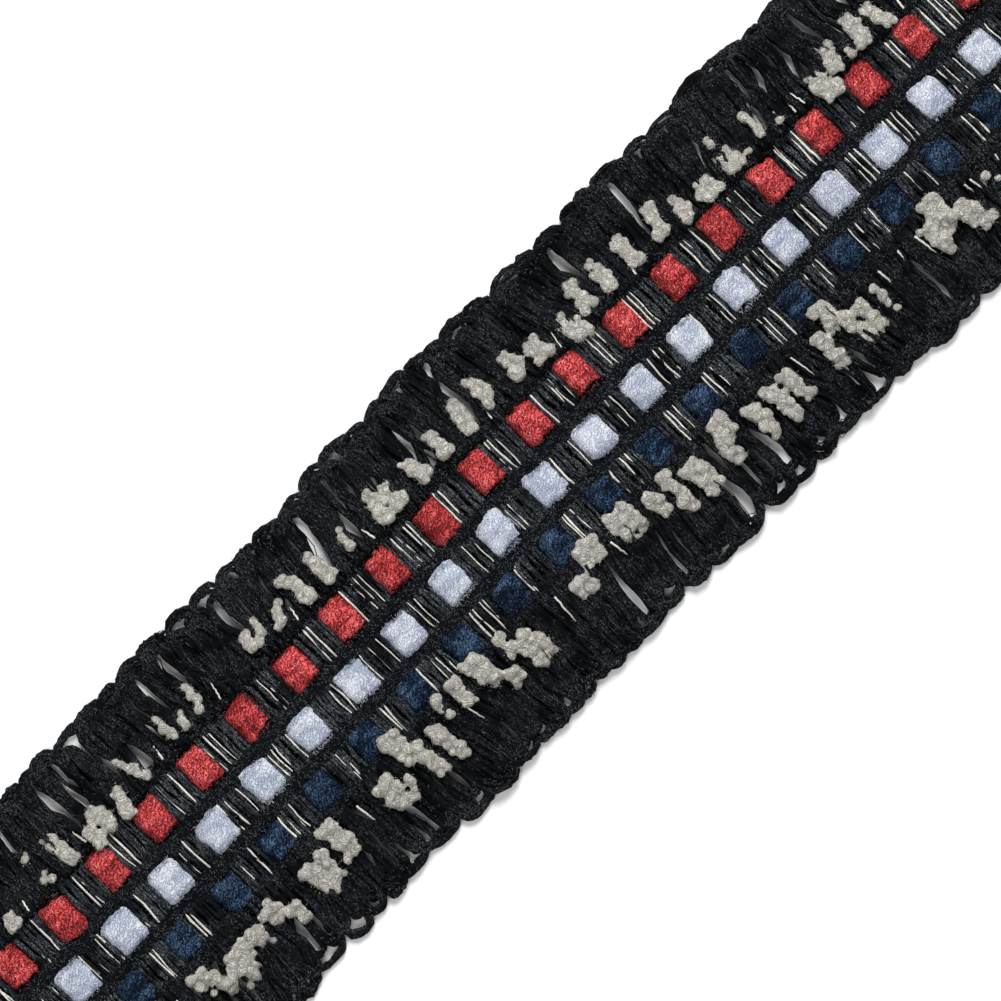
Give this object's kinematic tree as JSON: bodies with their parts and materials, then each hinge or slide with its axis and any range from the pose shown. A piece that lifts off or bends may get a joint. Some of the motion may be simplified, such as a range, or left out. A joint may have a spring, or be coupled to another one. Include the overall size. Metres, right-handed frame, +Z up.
{
  "type": "woven band trim",
  "caption": "Flat woven braid with three ribbons in a plain weave, black warp stripes, looped fringe along both edges and cream slubs at its roots.",
  "frame": {"origin": "middle of the band's length and width, on the surface that it lies on", "axes": "+X along the band, +Y across it towards its red ribbon, +Z up out of its face"},
  "size_m": [0.1572, 0.0386, 0.0034],
  "materials": {
    "black_yarn": "matt soft yarn of many fine filaments",
    "cream_yarn": "matt brushed yarn",
    "red_ribbon": "crinkled ribbon with a soft sheen",
    "white_ribbon": "brushed matt ribbon with a frayed nap",
    "navy_ribbon": "crinkled ribbon with a soft sheen"
  },
  "bodies": {
    "root": {"woven_ground": "black_yarn", "ribbon_red": "red_ribbon", "ribbon_white": "white_ribbon", "ribbon_navy": "navy_ribbon", "fringe_red_side": "black_yarn", "fringe_navy_side": "black_yarn", "slubs_red_side": "cream_yarn", "slubs_navy_side": "cream_yarn"}
  },
  "joints": []
}
